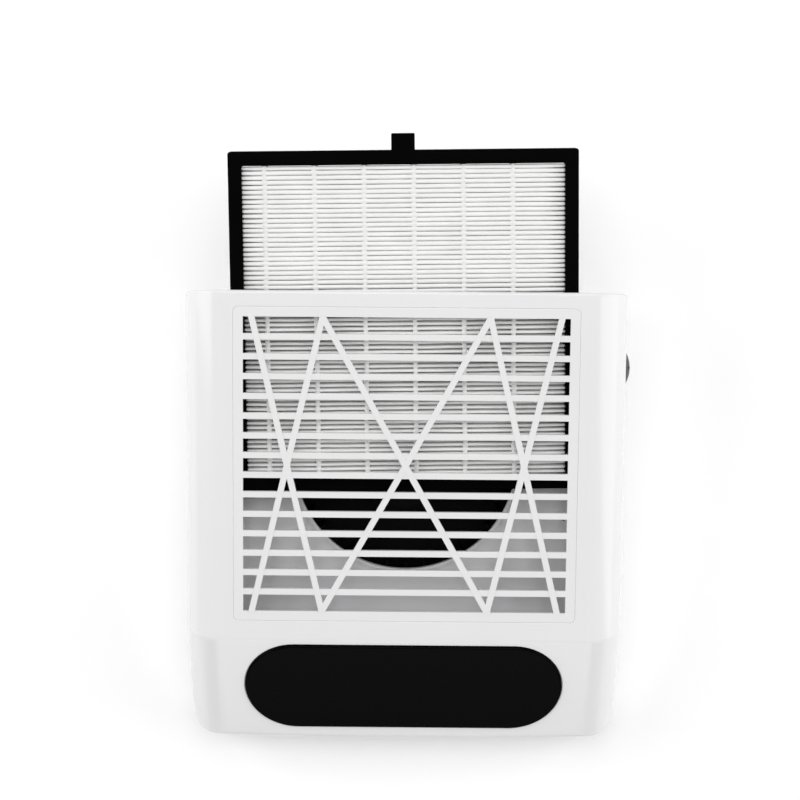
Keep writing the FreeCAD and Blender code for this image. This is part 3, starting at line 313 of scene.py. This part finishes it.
# ---------------------------------------------------------------- filter: pleated paper and glue beads
FILTER_TURN = math.radians(1.1)
media_low, media_high = tilted_box("filter_media")
MEDIA_MIDDLE = Matrix.Translation((media_low + media_high) / 2)
FILTER_FRAME = GRILLE_FRAME @ MEDIA_MIDDLE @ Matrix.Rotation(FILTER_TURN, 4, "Z")
PAPER_WIDTH = 179.8 * MM
PAPER_LENGTH = 175.0 * MM
PAPER_TOP = (media_high.z - media_low.z) / 2
PLEATS = 66
PLEAT_PITCH = PAPER_LENGTH / PLEATS
PAPER_THICK = 0.42 * MM
GAP_DRAWN_OUT = 0.24 * MM       # between neighbouring crests where the filter stands out of the case
GAP_INSIDE = 1.12 * MM          # and where it lies under the grille


CREST_CLEAR = 0.25 * MM         # under the top of the paper's own box
GRILLE_SHARE = 0.56             # how much of the paper lies under the grille
GAP_CHANGE = 10                 # the gap changes over this many folds
GLUED_REACH = 13 * MM           # near the frame the folds are pressed down over this length
GLUED_DROP = 0.8 * MM


def fold_profile(gap):
    """The middle line of one pleat, from the bottom of one fold to just before the next, with its normals."""
    radius = (PLEAT_PITCH - gap - PAPER_THICK) / 2
    crest = PAPER_TOP - PAPER_THICK / 2 - radius - CREST_CLEAR
    line = []
    top_steps, bottom_steps = 8, 4
    for i in range(bottom_steps // 2, bottom_steps + 1):
        a = math.pi * i / bottom_steps
        line.append((-PLEAT_PITCH / 2 - radius * math.cos(a), -crest - radius * math.sin(a),
                     math.cos(a), math.sin(a)))
    for i in range(top_steps + 1):
        a = math.pi * i / top_steps
        line.append((-radius * math.cos(a), crest + radius * math.sin(a), -math.cos(a), math.sin(a)))
    for i in range(bottom_steps // 2):
        a = math.pi * i / bottom_steps
        line.append((PLEAT_PITCH / 2 - radius * math.cos(a), -crest - radius * math.sin(a),
                     math.cos(a), math.sin(a)))
    return line


def paper_stations():
    """Places across the paper, closer together at its glued ends."""
    half = PAPER_WIDTH / 2
    near = [0.0, 0.8 * MM, 2.0 * MM, 4.0 * MM, 6.5 * MM]
    steps = 42
    inner = [near[-1] + (PAPER_WIDTH - 2 * near[-1]) * i / steps for i in range(1, steps)]
    return [d - half for d in near] + [d - half for d in inner] + [half - d for d in reversed(near)]


def paper_sway(x, y):
    """How far a fold wanders along the filter and how far its crest rises, both small."""
    broad = Vector((x / (24 * MM), y / (7 * MM), 0.3))
    fine = Vector((x / (7 * MM), y / (3 * MM), 5.1))
    along = Vector((x / (30 * MM), y / (4 * MM), 9.7))
    sway = noise.noise(broad) * 0.24 * MM
    sway += noise.noise(fine) * 0.07 * MM
    rise = noise.noise(along) * 0.22 * MM
    return sway, rise


def pleated_paper():
    """The folded sheet, its folds closer together where it stands out of the case."""
    half_width, half_length = PAPER_WIDTH / 2, PAPER_LENGTH / 2
    profiles = []
    for k in range(PLEATS):
        share = min(1.0, max(0.0, (GRILLE_SHARE * PLEATS - k) / GAP_CHANGE + 0.5))
        profiles.append(fold_profile(GAP_DRAWN_OUT + (GAP_INSIDE - GAP_DRAWN_OUT) * share))
    rows = []
    for x in paper_stations():
        from_end = half_width - abs(x)
        glued = max(0.0, 1 - from_end / GLUED_REACH) ** 1.5
        outer, inner = [], []
        for k in range(PLEATS):
            middle = -half_length + PLEAT_PITCH * (k + 0.5)
            sway, rise = paper_sway(x, middle)
            for y, z, ny, nz in profiles[k]:
                fade = max(-1.0, min(1.0, z / PAPER_TOP))
                at_y = middle + y * (1 - 0.25 * glued) + sway * fade
                at_z = z + (rise - GLUED_DROP * glued - 0.1 * MM) * max(0.0, fade)
                at_y = max(-half_length + PAPER_THICK, min(half_length - PAPER_THICK, at_y))
                sheet = PAPER_THICK / 2
                outer.append((x, at_y + ny * sheet, at_z + nz * sheet))
                inner.append((x, at_y - ny * sheet, at_z - nz * sheet))
        rows.append(outer + inner[::-1])
    points = [FILTER_FRAME @ Vector(p) for row in rows for p in row]
    count = len(rows[0])
    faces = loft(rows)
    half = count // 2
    for start in (0, (len(rows) - 1) * count):
        for c in range(half - 1):
            a, b = start + c, start + c + 1
            d, e = start + count - 1 - c, start + count - 2 - c
            faces.append((a, d, e, b) if start == 0 else (a, b, e, d))
    paper = add_piece("pleated_paper", points, faces, "filter_paper", "filter_cartridge")
    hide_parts("filter_media")


BEAD_COUNT = 6
BEAD_FIRST = 12.7 * MM
BEAD_PITCH = 27.65 * MM
BEAD_WIDTH = 3.1 * MM
BEAD_SWAY = 0.35 * MM
BEAD_SAG = 0.28 * MM            # between two crests
BEAD_HEIGHT = 1.6 * MM


def glue_bead(index, side):
    """One line of hot melt laid over the crests of one face: it sags between them and its width wanders."""
    middle = -PAPER_WIDTH / 2 + BEAD_FIRST + index * BEAD_PITCH
    half_length = PAPER_LENGTH / 2
    per_pleat = 6
    steps = PLEATS * per_pleat
    around = 9
    rows = []
    for i in range(steps + 1):
        y = -half_length + PAPER_LENGTH * i / steps
        phase = side * math.cos(2 * math.pi * (y + half_length) / PLEAT_PITCH)
        sway = noise.noise(Vector((y / (9 * MM), index * 3.7, 1.2 * side))) * BEAD_SWAY
        swell = noise.noise(Vector((y / (2.2 * MM), index * 1.9, 4.4 * side)))
        wide = BEAD_WIDTH / 2 * (1 + 0.22 * swell) * (1 - 0.14 * phase)
        top = PAPER_TOP - 0.02 * MM - BEAD_SAG * (1 + phase) / 2
        low = PAPER_TOP - BEAD_HEIGHT
        row = []
        for j in range(around):
            a = math.pi * j / (around - 1)
            z = low + (top - low) * math.sin(a) ** 0.7
            row.append((middle + sway + wide * math.cos(a), y, side * z))
        rows.append(row[::side])
    points = [FILTER_FRAME @ Vector(p) for row in rows for p in row]
    faces = loft(rows)
    faces.append(tuple(range(around)))
    faces.append(tuple(reversed(range(steps * around, (steps + 1) * around))))
    return points, faces


def glue_beads():
    for side, face_name in ((1, "upper"), (-1, "lower")):
        for index in range(BEAD_COUNT):
            points, faces = glue_bead(index, side)
            name = f"glue_bead_{face_name}_{index + 1}"
            bead = add_piece(name, points, faces, "hot_melt", "filter_cartridge")
            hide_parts("filter_glue_beads")


pleated_paper()
glue_beads()


# ---------------------------------------------------------------- stage: floor, light, camera
FLOOR_Z = CAD_BOX[0][2]
FLOOR_HALF = 4.0
FLOOR_GLOW = 0.09


def add_floor():
    """A plain pale ground at the height of the feet's undersides."""
    mesh = bpy.data.meshes.new("floor")
    outline = [(sx * FLOOR_HALF, sy * FLOOR_HALF, FLOOR_Z) for sx, sy in ((-1, -1), (1, -1), (1, 1), (-1, 1))]
    mesh.from_pydata(outline, [], [(0, 1, 2, 3)])
    floor = bpy.data.objects.new("floor", mesh)
    bpy.context.collection.objects.link(floor)
    material, nodes, links, shader = new_material("floor_pale")
    cloud = noise_value(nodes, links, 3.0, 2.0)
    links.new(ramp(nodes, links, cloud, (0.90, 0.90, 0.90), (0.92, 0.92, 0.92)), shader.inputs["Base Color"])
    shader.inputs["Roughness"].default_value = 0.9
    shader.inputs["Emission Color"].default_value = (1, 1, 1, 1)
    shader.inputs["Emission Strength"].default_value = FLOOR_GLOW
    mesh.materials.append(material)


def add_area(name, place, aim, size, power, roll=0.0):
    """A rectangular soft light that faces its aim, rolled about its own axis."""
    light = bpy.data.lights.new(name, "AREA")
    light.shape = "RECTANGLE"
    light.size, light.size_y = size
    light.energy = power
    lamp = bpy.data.objects.new(name, light)
    direction = Vector(aim) - Vector(place)
    turn = direction.to_track_quat("-Z", "Y").to_matrix().to_4x4()
    lamp.matrix_world = Matrix.Translation(place) @ turn @ Matrix.Rotation(roll, 4, "Z")
    bpy.context.collection.objects.link(lamp)


def add_world(strength):
    world = bpy.data.worlds.new("studio")
    world.use_nodes = True
    background = world.node_tree.nodes["Background"]
    background.inputs["Color"].default_value = (1, 1, 1, 1)
    background.inputs["Strength"].default_value = strength
    bpy.context.scene.world = world


def add_camera():
    """Looks straight down from above the grille, as far off as a product shot is taken."""
    camera = bpy.data.cameras.new("camera")
    camera.lens = 94.23
    camera.sensor_width = 36.0
    camera.clip_end = 50.0
    eye = bpy.data.objects.new("camera", camera)
    eye.location = (-3.4 * MM, 67.9 * MM, 1264.8 * MM)
    eye.rotation_euler = (0, 0, math.radians(0.5))
    bpy.context.collection.objects.link(eye)
    bpy.context.scene.camera = eye


add_floor()
add_world(0.225)
add_area("key_rear", (0.0, 1.4, 1.9), (0, 0, 0), (1.8, 1.0), 7.5)
add_area("key_top", (0.0, 0.45, 2.3), (0, 0, 0), (1.6, 0.9), 13.9)
add_area("side_left", (-1.3, 0.458, 0.97), (0, 0.458, 0.97), (1.3, 1.7), 17.5, math.radians(-15))
add_area("side_right", (1.3, 0.29, 0.95), (0, 0.29, 0.95), (1.42, 1.9), 17.0)
add_area("front", (0.0, -1.5, 0.9), (0, 0, 0.05), (1.6, 0.7), 6.7)
add_camera()
bpy.context.scene.view_settings.view_transform = "Standard"
